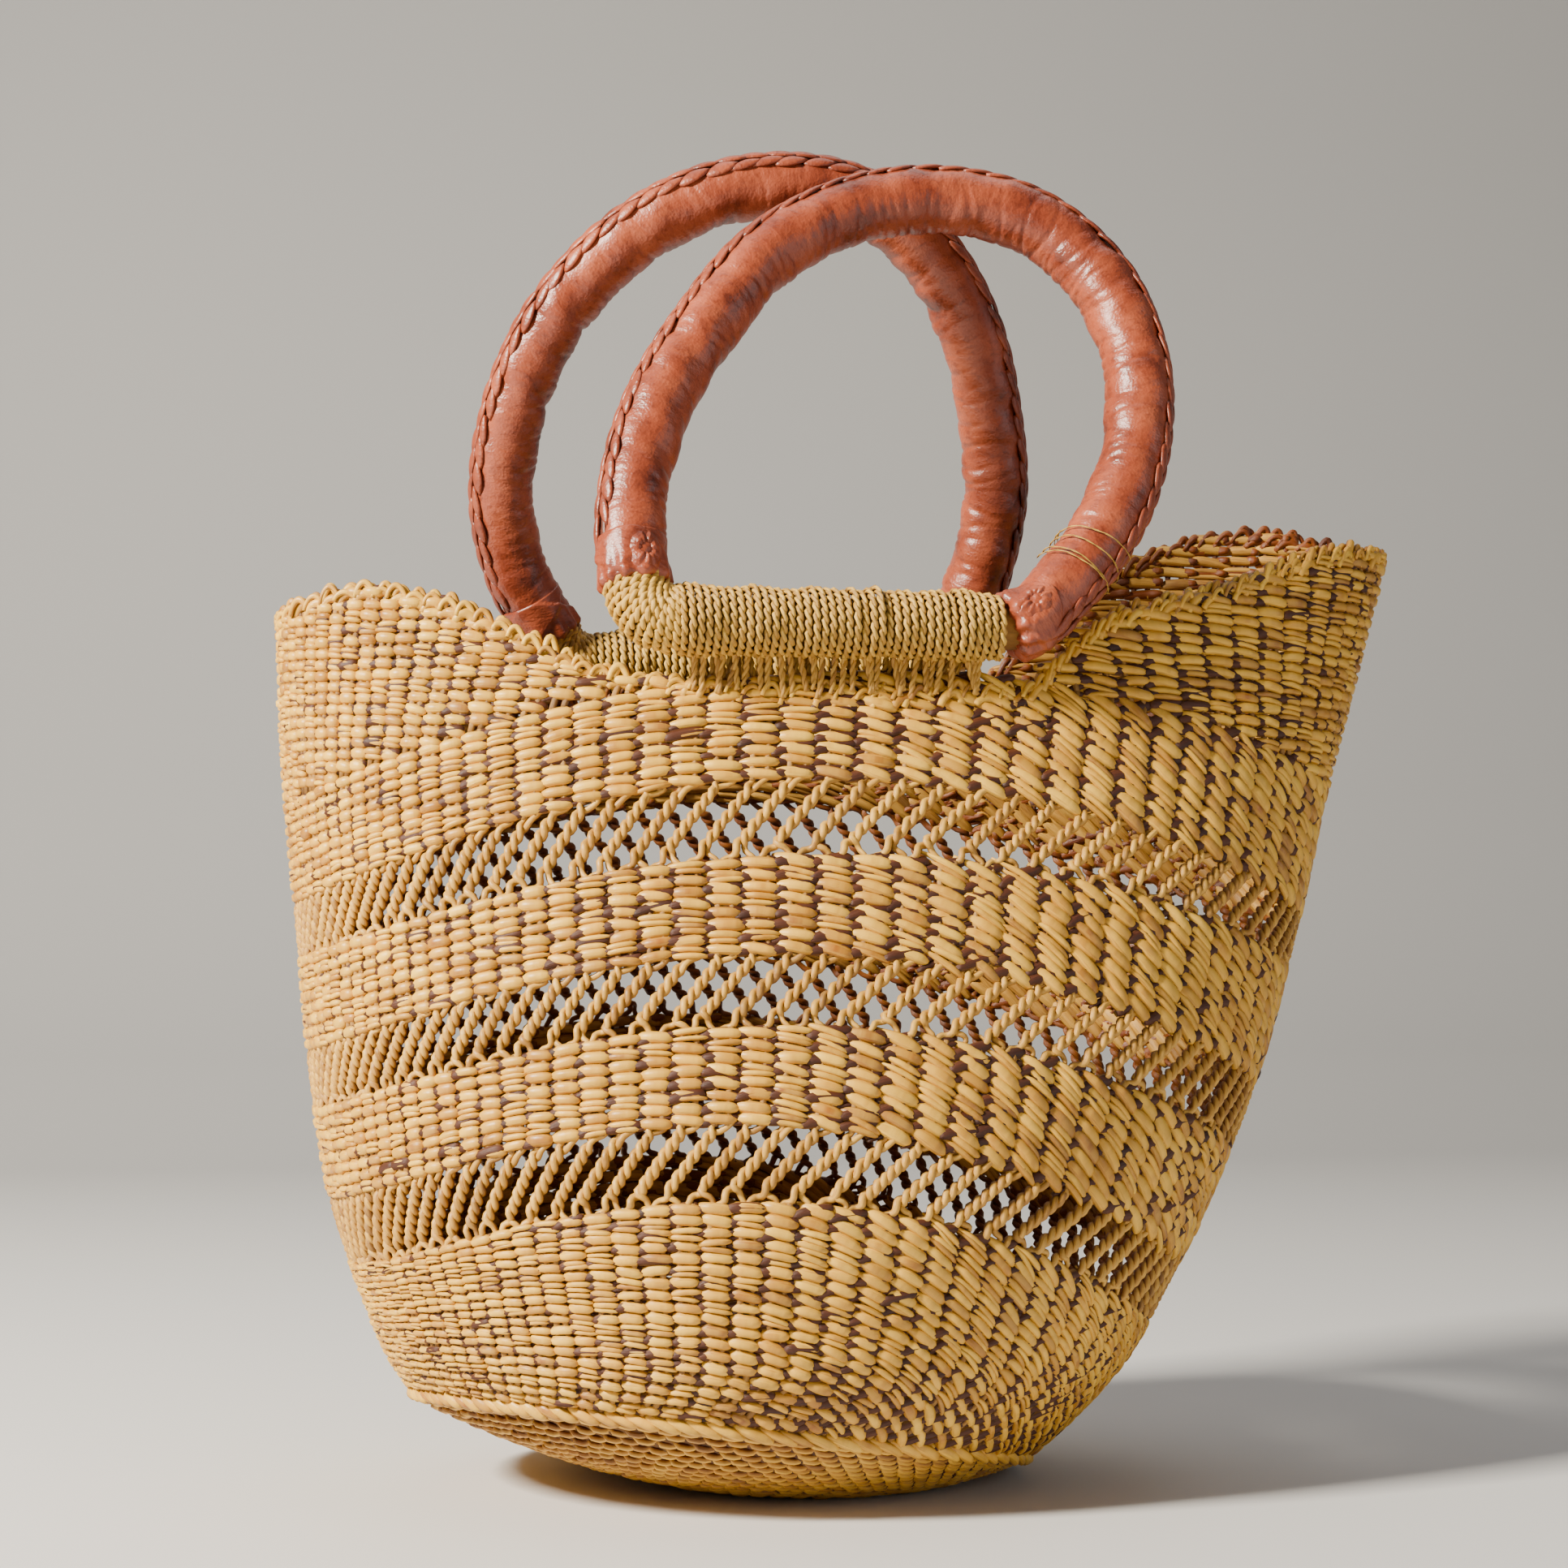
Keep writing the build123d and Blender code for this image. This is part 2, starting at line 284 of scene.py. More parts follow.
def noise(tree, vector, scale, detail, **values):
    """A noise texture read at a vector."""
    made = node(tree, "ShaderNodeTexNoise", Scale=scale, Detail=detail, **values)
    tree.links.new(vector, made.inputs["Vector"])
    return made


def scaled(tree, value, factor):
    """A value times a number."""
    made = node(tree, "ShaderNodeMath", operation="MULTIPLY")
    made.inputs[1].default_value = factor
    tree.links.new(value, made.inputs[0])
    return made.outputs[0]


def mixed(tree, blend_type, amount, first, second):
    """Two colours mixed."""
    made = node(tree, "ShaderNodeMix", data_type="RGBA", blend_type=blend_type)
    made.inputs[0].default_value = amount
    tree.links.new(first, made.inputs[6])
    tree.links.new(second, made.inputs[7])
    return made.outputs[2]


def spanned(tree, value, low, high):
    """A value from 0 to 1 spread between two numbers."""
    made = node(tree, "ShaderNodeMapRange")
    made.inputs["To Min"].default_value = low
    made.inputs["To Max"].default_value = high
    tree.links.new(value, made.inputs["Value"])
    return made.outputs[0]


def bumped(tree, height, strength, distance, under=None):
    """A bump from a height, over another bump if one is given."""
    made = node(tree, "ShaderNodeBump", Strength=strength, Distance=distance)
    tree.links.new(height, made.inputs["Height"])
    if under is not None:
        tree.links.new(under, made.inputs["Normal"])
    return made.outputs[0]


def new_material(name):
    """A material, with its tree, its shader and its mesh's grain."""
    material = bpy.data.materials.new(name)
    material.use_nodes = True
    tree = material.node_tree
    grain = tree.nodes.new("ShaderNodeAttribute")
    grain.attribute_name = "grain"
    return material, tree, tree.nodes["Principled BSDF"], grain.outputs["Vector"]


def ramp(tree, value, *stops):
    """A value turned to a colour by the given (place, colour) stops."""
    made = tree.nodes.new("ShaderNodeValToRGB")
    tree.links.new(value, made.inputs[0])
    elements = made.color_ramp.elements
    for i, (position, colour) in enumerate(stops):
        element = elements[i] if i < len(elements) else elements.new(position)
        element.position = position
        element.color = (*colour, 1)
    return made.outputs[0]


WHITE = (1.0, 1.0, 1.0)


def straw(name, pale, mid, dark, node_colour, roughness=0.5, shadow=(0.30, 0.15, 0.07)):
    """Twisted grass: colour differs from strand to strand, with fine fibres along each strand, and
    shade painted darker on each strand's sides and underside.
    """
    material, tree, shader, grain = new_material(name)
    link = tree.links.new
    parts = tree.nodes.new("ShaderNodeSeparateXYZ")
    link(grain, parts.inputs[0])
    run, edge, seed = (parts.outputs[axis] for axis in "XYZ")
    where = tree.nodes.new("ShaderNodeCombineXYZ")
    for i, (value, factor) in enumerate(((run, 0.16), (edge, 26.0), (seed, 173.0))):
        link(scaled(tree, value, factor), where.inputs[i])

    fibres = noise(tree, where.outputs[0], 1.0, 3.0, Roughness=0.6).outputs["Fac"]
    blotch = noise(tree, where.outputs[0], 0.35, 2.0).outputs["Fac"]
    position = tree.nodes.new("ShaderNodeNewGeometry").outputs["Position"]
    field = noise(tree, position, 14.0, 2.0).outputs["Fac"]

    own = ramp(tree, seed, (0.0, dark), (0.22, mid), (0.6, pale), (0.93, mid), (0.97, node_colour))
    streak = ramp(tree, fibres, (0.30, dark), (0.55, pale))
    shade = ramp(tree, blotch, (0.30, (0.55, 0.50, 0.42)), (0.60, WHITE))
    region = ramp(tree, field, (0.35, (0.86, 0.80, 0.70)), (0.62, WHITE))
    # Painted shade: each strand darkens towards the shadow colour down its sides and underneath.
    painted_crevice_shade = ramp(tree, edge, (0.13, WHITE), (0.36, shadow))
    colour = mixed(tree, "MIX", 0.38, own, streak)
    for amount, tint in ((0.55, shade), (0.8, region), (1.0, painted_crevice_shade)):
        colour = mixed(tree, "MULTIPLY", amount, colour, tint)
    link(colour, shader.inputs["Base Color"])
    link(spanned(tree, fibres, roughness - 0.12, roughness + 0.2), shader.inputs["Roughness"])
    link(bumped(tree, fibres, 0.55, 0.0006), shader.inputs["Normal"])
    return material


def leather(name, light, mid, dark, roughness=0.4):
    """Oiled goatskin: mottled, with fine pores and cross creases."""
    material, tree, shader, grain = new_material(name)
    link = tree.links.new
    position = tree.nodes.new("ShaderNodeNewGeometry").outputs["Position"]
    mottle = noise(tree, position, 55.0, 5.0, Roughness=0.62).outputs["Fac"]
    broad = noise(tree, position, 16.0, 3.0).outputs["Fac"]
    grit = noise(tree, position, 420.0, 3.0).outputs["Fac"]
    pores = node(tree, "ShaderNodeTexVoronoi", Scale=900.0)
    link(position, pores.inputs["Vector"])
    stretch = tree.nodes.new("ShaderNodeMapping")
    stretch.inputs["Scale"].default_value = (0.42, 2.2, 60.0)
    link(grain, stretch.inputs["Vector"])
    creases = noise(tree, stretch.outputs[0], 1.0, 4.0, Roughness=0.6).outputs["Fac"]

    colour = ramp(tree, mottle, (0.28, dark), (0.46, mid), (0.70, light))
    wide = ramp(tree, broad, (0.35, (0.62, 0.50, 0.46)), (0.62, WHITE))
    fold = ramp(tree, creases, (0.36, (0.55, 0.45, 0.42)), (0.47, WHITE))
    colour = mixed(tree, "MULTIPLY", 0.75, colour, wide)
    colour = mixed(tree, "MULTIPLY", 0.6, colour, fold)
    link(colour, shader.inputs["Base Color"])
    link(spanned(tree, mottle, roughness - 0.1, roughness + 0.18), shader.inputs["Roughness"])
    bump = bumped(tree, creases, 0.35, 0.0012)
    bump = bumped(tree, pores.outputs["Distance"], 0.25, 0.0004, bump)
    link(bumped(tree, grit, 0.2, 0.0003, bump), shader.inputs["Normal"])
    shader.inputs["Coat Weight"].default_value = 0.12
    shader.inputs["Coat Roughness"].default_value = 0.3
    return material


# Each straw has its pale, middle and dark colour, the colour of a few odd strands, its roughness
# and, where it isn't the usual one, the colour of the shade painted into its crevices.
STRAW = straw("straw", (0.94, 0.56, 0.062), (0.78, 0.39, 0.036), (0.38, 0.13, 0.013),
              (0.27, 0.09, 0.025), 0.40, (0.24, 0.10, 0.04))
ROPE = straw("rope_straw", (0.80, 0.46, 0.075), (0.58, 0.29, 0.04), (0.28, 0.11, 0.016),
             (0.20, 0.08, 0.02), 0.44)
CORD = straw("cord_straw", (0.84, 0.53, 0.09), (0.60, 0.33, 0.045), (0.28, 0.12, 0.016),
             (0.24, 0.10, 0.02), 0.42, (0.16, 0.07, 0.03))
# The warp straw is painted far darker than the stitches' straw, as shade in the gaps between
# columns.
SHADED_WARP_STRAW = straw("warp_straw_painted_shade", (0.46, 0.24, 0.045), (0.32, 0.15, 0.026), (0.14, 0.06, 0.012),
             (0.12, 0.05, 0.014), 0.6)
# The inside stitches' straw is a darker copy of the outside straw: painted shade for the basket's
# inside, seen through the gaps.
SHADED_INNER_STRAW = straw("inner_straw_painted_shade", (0.66, 0.37, 0.06), (0.50, 0.24, 0.035), (0.24, 0.09, 0.014),
              (0.18, 0.07, 0.02), 0.52, (0.13, 0.05, 0.018))
# Each leather has its light, middle and dark colour, and its roughness.
LEATHER = leather("leather", (0.45, 0.105, 0.042), (0.30, 0.058, 0.022),
                  (0.10, 0.018, 0.009), 0.33)
LACE = leather("leather_dark", (0.22, 0.06, 0.026), (0.13, 0.034, 0.016),
               (0.05, 0.014, 0.008), 0.5)
LEAF = leather("leather_leaf", (0.42, 0.095, 0.036), (0.28, 0.054, 0.02),
               (0.12, 0.022, 0.010), 0.36)


def place(piece, body, slot, *nodes):
    """Ride a body and stand for the CAD nodes; slot is not used."""
    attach(piece, body)
    if nodes:
        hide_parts(*nodes)
    return piece


# ---- twined bands ---------------------------------------------------------------------------
STEPS = np.array([0, 0.10, 0.24, 0.40, 0.56, 0.72, 0.84, 0.92, 0.97, 1.0])
SPLIT_SHARE = 0.24  # share of the stitches that show as two thinner strands, one over the other
# Width, and offset up the wall, as shares of a row.
WHOLE_STITCH, UPPER_STRAND, LOWER_STRAND = (1.0, 0.0), (0.60, 0.23), (0.52, -0.25)


def grain_shape(u, point=0.0):
    """Width of a stitch along its length: point 0 is an oval, 1 a drop with a thin left end."""
    oval = np.sqrt(np.maximum(1 - np.clip((0.38 - u) / 0.44, 0, 1) ** 2, 0))
    drop = 0.36 + 0.64 * fade((u - 0.02) / 0.55)
    right = np.sqrt(np.maximum(1 - np.clip((u - 0.72) / 0.30, 0, 1) ** 2, 0))
    return np.maximum((oval * (1 - point) + drop * point) * right, 0.2)


def stitch_batch(angle, column_rows, row_height, pitch, slant, inside=False, bend=None):
    """Stitches at angles, on rows. row_height(angle, rows) gives a row's height.

    The left end of each dives under the stitch beside it. bend(angle, z) shifts the columns.
    """
    split = rng.random(len(angle)) < SPLIT_SHARE
    pick = np.concatenate([np.flatnonzero(~split), np.flatnonzero(split), np.flatnonzero(split)])
    whole, halves = (~split).sum(), split.sum()
    scale, apart = (np.repeat(values, (whole, halves, halves))[:, None]
                    for values in zip(WHOLE_STITCH, UPPER_STRAND, LOWER_STRAND))
    angle, column_rows, pitch = angle[pick], column_rows[pick], pitch[pick]
    slant = np.broadcast_to(slant, (len(split), 1))[pick]
    n = len(angle)
    u = STEPS[None]
    point = fade((slant - 6) / 12)
    shape = grain_shape(u, point)
    reach = (1.20 + 0.14 * point + 0.05 * rng.standard_normal((n, 1))) * PITCH
    theta = angle[:, None] + (u - 0.57) * reach + 0.035 * PITCH * rng.standard_normal((n, 1))
    z = row_height(theta, column_rows[:, None])
    flat = wall_point(theta, z)
    run = np.linalg.norm(np.gradient(flat, axis=1), axis=2).sum(1, keepdims=True)
    tilt = np.tan(np.radians(slant + 3.5 * rng.standard_normal((n, 1))))
    z = z - (u - 0.5) * run * tilt + 0.2 * rng.standard_normal((n, 1)) + apart * pitch[:, None]
    z = z + 0.3 * np.sin(math.pi * u)
    if bend is not None:
        theta = theta + bend(theta, z)
    thick = (1.95 + 0.15 * rng.standard_normal((n, 1))) * (0.45 + 0.55 * scale)
    dive = 2.5 * (1 - fade(u / 0.40)) + 0.9 * fade((u - 0.80) / 0.20)
    depth = thick + 0.1 + dive + 0.18 * rng.standard_normal((n, 1))
    if inside:
        depth = WALL - depth + 0.75 * dive
    centre = wall_point(theta, z, depth)
    up = wall_normal(theta, z) * (-1 if inside else 1)
    uneven = 1 + 0.07 * rng.standard_normal((n, 1))
    half = pitch[:, None] * (0.51 + 0.05 * point) * uneven * scale * shape
    return centre, up, half, thick * shape ** 0.8


def rows_between(low, high, rows):
    """A row_height function for a band with a fixed number of rows between two rules."""
    def height(angle, row):
        def rule(x, y, at):
            return low(x, y, at) + (high(x, y, at) - low(x, y, at)) * (row + 0.5) / rows
        return settle(angle, rule)
    return height


def warps(low, high, columns, shift, bend=None):
    """Two warp strands to each column, between two rules, that end inside the rim."""
    steps = np.linspace(0, 1, 16)
    batches = []
    for offset in (-0.2, 0.2):
        angle = (columns + shift + offset) * PITCH
        bottom, top = settle(angle, low), settle(angle, high)
        z = bottom[:, None] + (top - bottom)[:, None] * steps
        theta = np.repeat(angle[:, None], len(steps), 1)
        if bend is not None:
            theta = theta + bend(theta, z)
        ends = wall_point(theta, z)
        z = np.minimum(z, rim_height(ends[..., 0], ends[..., 1]) - RIM_CORD + 1)
        centre = wall_point(theta, z, WALL / 2)
        batches.append((centre, wall_normal(theta, z), 1.25, 1.1))
    return batches


def slant_at(angle):
    """The stitches lie nearly level on the left and slope more towards the right."""
    return 3 + 23 * fade((np.cos(spread(angle)) + 0.35) / 0.8)


def twined(name, angle, row, height, pitch, slant, strands, bend=None):
    """The outside stitches, the inside stitches and the warp of one CAD band."""
    outer = stitch_batch(angle, row, height, pitch, slant, bend=bend)
    place(tubes(name + "_weave", STRAW, [outer]), BASKET, TWINED, name)
    inner = stitch_batch(angle, row, height, pitch, -slant, inside=True, bend=bend)
    place(tubes(name + "_inside", SHADED_INNER_STRAW, [inner], 6), BASKET, TWINED, name)
    place(tubes(name + "_warp", SHADED_WARP_STRAW, strands, 6), BASKET, ROPED, name)


ALL = np.arange(COLUMNS)
BANDS = (
    ("lower_band", ridge_rule, line_rule(BORDERS[0]), 18),
    ("middle_band_lower", line_rule(BORDERS[1]), line_rule(BORDERS[2]), 8),
    ("middle_band_upper", line_rule(BORDERS[3]), line_rule(BORDERS[4]), 8),
    ("upper_band", line_rule(BORDERS[5]), line_rule(GUSSET_LINE), 9),
)
for order, (name, low, high, rows) in enumerate(BANDS):
    column, row = (v.ravel() for v in np.meshgrid(ALL, np.arange(rows)))
    angle = (column + order * ROPE_LEAN) * PITCH
    pitch = (settle(angle, high) - settle(angle, low)) / rows
    height = rows_between(low, high, rows)
    strands = warps(low, high, ALL, order * ROPE_LEAN)
    twined(name, angle, row, height, pitch, slant_at(angle)[:, None], strands)

ROW_HEIGHT = 4.15  # of the gussets' level rows
END_SHIFT = 3 * ROPE_LEAN  # columns that the three openwork bands have leant over by then
GUSSET_SLANT = 5.0


def gusset(name, side, rows):
    """Short level rows that lift one end of the basket, from the gusset line up to the rim.

    Their columns lean to the middle.
    """
    column, row = (v.ravel() for v in np.meshgrid(ALL, np.arange(rows)))
    angle = (column + END_SHIFT) * PITCH
    level = GUSSET_LINE[0][1] + 0.5 * ROW_HEIGHT

    def height(at, k):
        return level + k * ROW_HEIGHT + 0.5 * np.sin(at * 5 + k * 0.4)

    def bend(at, z):
        over = np.maximum(z - border_height(GUSSET_LINE, wall_point(at, z)[..., 0]), 0)
        return side * 0.13 * over / ROW_HEIGHT * np.sin(at) * PITCH

    def top(x, y, at):
        return np.maximum(rim_height(x, y) - RIM_CORD, border_height(GUSSET_LINE, x))

    z = height(angle, row)
    spot = wall_point(angle + bend(angle, z), z)
    x, y = spot[..., 0], spot[..., 1]
    keep = (z > border_height(GUSSET_LINE, x) + 0.3 * ROW_HEIGHT) & ((x - 5) * side > 0)
    keep &= z < rim_height(x, y) - RIM_CORD + 0.25 * ROW_HEIGHT
    angle, row = angle[keep], row[keep]
    pitch = np.full(len(angle), ROW_HEIGHT)
    columns = np.unique(np.round(angle / PITCH - END_SHIFT))
    strands = warps(line_rule(GUSSET_LINE), top, columns, END_SHIFT, bend)
    twined(name, angle, row, height, pitch, GUSSET_SLANT, strands, bend)


gusset("left_gusset", -1, 20)
gusset("right_gusset", 1, 32)


# ---- openwork -------------------------------------------------------------------------------
# For each of a rope's two strands: the share of the height over which it runs in to the other,
# and how many columns it stands aside at its foot and at its head.
ROPE_STRANDS = ((0.10, -0.12, -0.16), (0.26, 0.80, 0.34))


def openwork(name, low, high, order):
    """Ropes of two strands each. The strands spread at both ends to neighbouring columns."""
    steps = np.linspace(0, 1, 34)
    low, high = line_rule(low), line_rule(high)
    batches = []
    jitter = 0.05 * rng.standard_normal(COLUMNS)
    turns = 4.7 + 0.4 * rng.standard_normal(COLUMNS)
    phase = rng.random(COLUMNS) * TURN
    foot = (ALL + order * ROPE_LEAN + jitter) * PITCH
    head = foot + (ROPE_LEAN - jitter) * PITCH
    bottom, top = settle(foot, low) - 1.5, settle(head, high) + 1.5
    for strand, (run_in, foot_aside, head_aside) in enumerate(ROPE_STRANDS):
        theta = foot[:, None] + (head - foot)[:, None] * steps
        z = bottom[:, None] + (top - bottom)[:, None] * steps
        split = 1 - fade(steps / run_in)
        fan = fade((steps - 0.84) / 0.16)
        theta = theta + foot_aside * PITCH * split + head_aside * PITCH * fan
        middle = wall_point(theta, z, WALL / 2 + 0.3)
        up = wall_normal(theta, z)
        side = np.cross(unit(np.gradient(middle, axis=1)), up)
        twist = phase[:, None] + strand * math.pi + turns[:, None] * TURN * steps
        reach = (1.08 * (1 - split) * (1 - 0.8 * fan))[None, :, None]
        wave = side * np.cos(twist)[..., None] + up * np.sin(twist)[..., None]
        girth = (1.28 - 0.35 * split - 0.25 * fan) * (1 + 0.07 * rng.standard_normal((COLUMNS, 1)))
        batches.append((middle + wave * reach, up, girth, girth))
    place(tubes(name + "_ropes", ROPE, batches), BASKET, ROPED, name)


openwork("openwork_lower", BORDERS[0], BORDERS[1], 0)
openwork("openwork_middle", BORDERS[2], BORDERS[3], 1)
openwork("openwork_upper", BORDERS[4], BORDERS[5], 2)


# ---- rim and ridge --------------------------------------------------------------------------
def rim_angles(spacing):
    """Angles at which points stand evenly along the rim."""
    fine = np.linspace(0, TURN, 1500)
    line = wall_point(fine, settle(fine, rim_rule), 2.5)
    length = arc_length(line)
    even = np.arange(round(length[-1] / spacing)) * spacing
    return np.interp(even, length, fine), length[-1] / TURN


KNOB_SPACING = 6.6
# For each strand of the folded edge: its reach along the rim, its rise, how deep in the wall it
# lies, and its half width. The last one is the cord that the others fold over.
RIM_STRANDS = ((6.6, 0.2, 1.2, 1.15), (6.6, -0.1, 3.8, 1.15), (4.2, 1.2, 2.5, 1.3),
               (9.0, -2.6, 2.4, 1.8))


def rim_loops():
    """The warp ends fold over the edge as small knobs, over a cord of stitches."""
    steps = np.linspace(0, 1, 12)
    even, per_turn = rim_angles(KNOB_SPACING)
    count = len(even)
    step = np.gradient(even)
    batches = []
    for reach, rise, inset, girth in RIM_STRANDS:
        angle = even + (0.6 * rng.standard_normal(count)) / per_turn
        theta = angle[:, None] + (steps - 0.5) * reach / KNOB_SPACING * step[:, None]
        lift = np.sin(math.pi * steps) ** 0.7 * (4.2 + 1.0 * rng.standard_normal((count, 1)))
        z = settle(theta, rim_rule) - RIM_CORD - 1.2 + lift + rise
        depth = inset + 1.6 * (steps - 0.5) + 0.4 * rng.standard_normal((count, 1))
        centre = wall_point(theta, z, depth)
        up = wall_normal(theta, z)
        uneven = 1 + 0.12 * rng.standard_normal((count, 1))
        half = girth * (0.70 + 0.30 * np.sin(math.pi * steps)) * uneven
        batches.append((centre, up, half, half * 0.95))
    return batches


place(tubes("rim_loops", STRAW, rim_loops()), BASKET, TWINED, "rim_border")


def ridge_stitches():
    """Slanted stitches laid over the ridge like a rope's strands."""
    angle = (ALL + 0.1 * rng.standard_normal(COLUMNS)) * PITCH
    theta = angle[:, None] + (STEPS[None] - 0.5) * 1.75 * PITCH
    foot = ridge_point(theta, 1.3)
    out = unit(ridge_point(theta, 0) - ridge_point(theta, 8))
    lift = (0.5 - STEPS[None]) * (4.4 + 0.5 * rng.standard_normal((COLUMNS, 1)))
    bow = np.sin(math.pi * STEPS)[None, :, None]
    centre = foot + np.array([0, 0, 1.0]) * lift[..., None] + out * (bow * 1.3 - 0.7)
    half = (1.95 + 0.15 * rng.standard_normal((COLUMNS, 1))) * grain_shape(STEPS[None])
    return centre, out, half, half * 0.95


place(tubes("ridge_stitches", STRAW, [ridge_stitches()]), BASKET, TWINED, "base_ridge")


# ---- base -----------------------------------------------------------------------------------
FOOT_SHARE, CENTRE_SHARE = 0.55, 0.45  # of the way in, on the slope and on the flat foot
BASE_ROWS = 27
BASE_COLUMNS = ((0.42, COLUMNS), (0.7, 48), (0.88, 24), (1.1, 10))  # up to each share


def base_point(angle, share, inset=0.0):
    """A point of the dished base: share 0 at the ridge, 1 at the middle of the foot."""
    angle, share, inset = np.broadcast_arrays(np.asarray(angle, float), share, inset)
    edge = ridge_point(angle, 2.0)
    angle = spread(angle)
    edge[..., 2] -= 2.0
    x = FOOT_CENTRE[0] + FOOT_HALF[0] * np.cos(angle)
    y = FOOT_CENTRE[1] + FOOT_HALF[1] * np.sin(angle)
    foot = np.stack([x, y, 0 * angle], -1)
    centre = np.array([*FOOT_CENTRE, 0.0])
    bend = (edge + foot) / 2
    bend[..., 2] = edge[..., 2] * 0.22
    t = np.clip(share / FOOT_SHARE, 0, 1)[..., None]
    slope_part = edge * (1 - t) ** 2 + 2 * t * (1 - t) * bend + foot * t * t
    s = np.clip((share - FOOT_SHARE) / CENTRE_SHARE, 0, 1)[..., None]
    point = np.where(share[..., None] < FOOT_SHARE, slope_part, foot * (1 - s) + centre * s)
    point[..., 2] += inset
    return point


def base_batches(inside):
    """Rows of stitches round the base, with fewer columns nearer its middle."""
    batches = []
    u = STEPS[None]
    for k in range(BASE_ROWS):
        share = (k + 0.6) / BASE_ROWS
        count = next(columns for limit, columns in BASE_COLUMNS if share < limit)
        angle = (np.arange(count) + 0.5 * (k % 2) * (count < COLUMNS)) * TURN / count
        theta = angle[:, None] + (u - 0.5) * 1.25 * TURN / count
        radial = share + 0.012 * (u - 0.5) + 0.003 * rng.standard_normal((count, 1))
        dive = 1.2 * (1 - fade(u / 0.25)) + 2.0 * fade((u - 0.6) / 0.4)
        depth = 1.5 + dive + 0.15 * rng.standard_normal((count, 1))
        centre = base_point(theta, radial, (WALL - depth) if inside else depth)
        up = np.broadcast_to([0, 0, 1.0 if inside else -1.0], centre.shape)
        before, after = (base_point(angle, share + step / BASE_ROWS) for step in (-0.5, 0.5))
        half = (np.linalg.norm(after - before, axis=-1) * 0.54)[:, None] * grain_shape(u)
        batches.append((centre, up, half, 1.45 * grain_shape(u) ** 0.7))
    return batches


place(tubes("base_weave_outside", STRAW, base_batches(False)), BASKET, TWINED, "base_weave")
place(tubes("base_weave_inside", SHADED_INNER_STRAW, base_batches(True), 6), BASKET, TWINED, "base_weave")


# ---- handles ----------------------------------------------------------------------------------
BAR_Y, BAR_Z, LEAN = 72.0, 308.0, math.radians(19.0)
LEATHER_R, WRAP_R, CORNER_R, CAP_R, CORE_R = 12.5, 13.0, 12.3, 13.4, 8.2
SEAM = math.radians(25)  # how far the seam lies round from the loop's outer side
LACE_SPACING = 8.6
CAP_LENGTH = 17.0
BAR_ENDS = {"front": (-45.7, 69.4), "rear": (-60.3, 71.1)}  # of the straw winding
# Which side each handle stands on, and its loop in the loop's own plane, from left to right.
HANDLES = {
    "front": (-1, ((-60, 13), (-60.5, 35), (-52, 76), (-30, 118), (-2, 153), (30, 172), (64, 178),
                   (97, 170), (121, 146), (131, 113), (129, 82), (118, 50), (100, 23), (86, 9))),
    "rear": (1, ((-76, 11), (-90, 36), (-97, 66), (-94, 96), (-83, 127), (-62, 156), (-33, 178),
                 (2, 188), (37, 184), (66, 164), (84, 136), (94, 104), (99, 71), (95, 40), (85, 9))),
}


def smooth_path(points, count):
    """Evenly spaced points on a smooth curve through a few points."""
    points = np.asarray(points, float)
    knots = arc_length(points)
    fine = np.linspace(0, knots[-1], 1200)
    curve = np.stack([smooth_through(knots, axis, fine) for axis in points.T], -1)
    length = arc_length(curve)
    return along(np.linspace(0, length[-1], count), length, curve)


def in_space(side, path):
    """A path in a loop's own plane, as points in space."""
    path = np.asarray(path, float)
    y = side * BAR_Y - side * math.sin(LEAN) * path[..., 1]
    return np.stack([path[..., 0], y, BAR_Z + math.cos(LEAN) * path[..., 1]], -1)


def loop_normal(side):
    """The loop plane's normal on the basket's front side."""
    return np.array([0, -math.cos(LEAN), side * -math.sin(LEAN)])


def loop_frame(side, path, steps):
    """Points along a loop, with its outward directions there, its normal and the length run."""
    spine = in_space(side, smooth_path(path, steps))
    forward = loop_normal(side)
    tangent = unit(np.gradient(spine, axis=0))
    outward = unit(np.cross(np.broadcast_to(forward, spine.shape), tangent))
    return spine, outward, forward, arc_length(spine)


def loop_end(side, path, from_end):
    """Points along a loop from one of its ends, and the length run."""
    spine = in_space(side, smooth_path(path, 700))
    if from_end:
        spine = spine[::-1]
    return spine, arc_length(spine)


def ripple(length, angle, seed):
    """Smooth uneven swelling over a tube's length and round it, between -1 and 1."""
    value = 0 * length
    local = np.random.default_rng(seed)
    for _ in range(16):
        wave, lobes = local.uniform(0.03, 0.42), local.integers(0, 4)
        value = value + np.sin(length * wave + lobes * angle + local.uniform(0, TURN))
    return value / 6


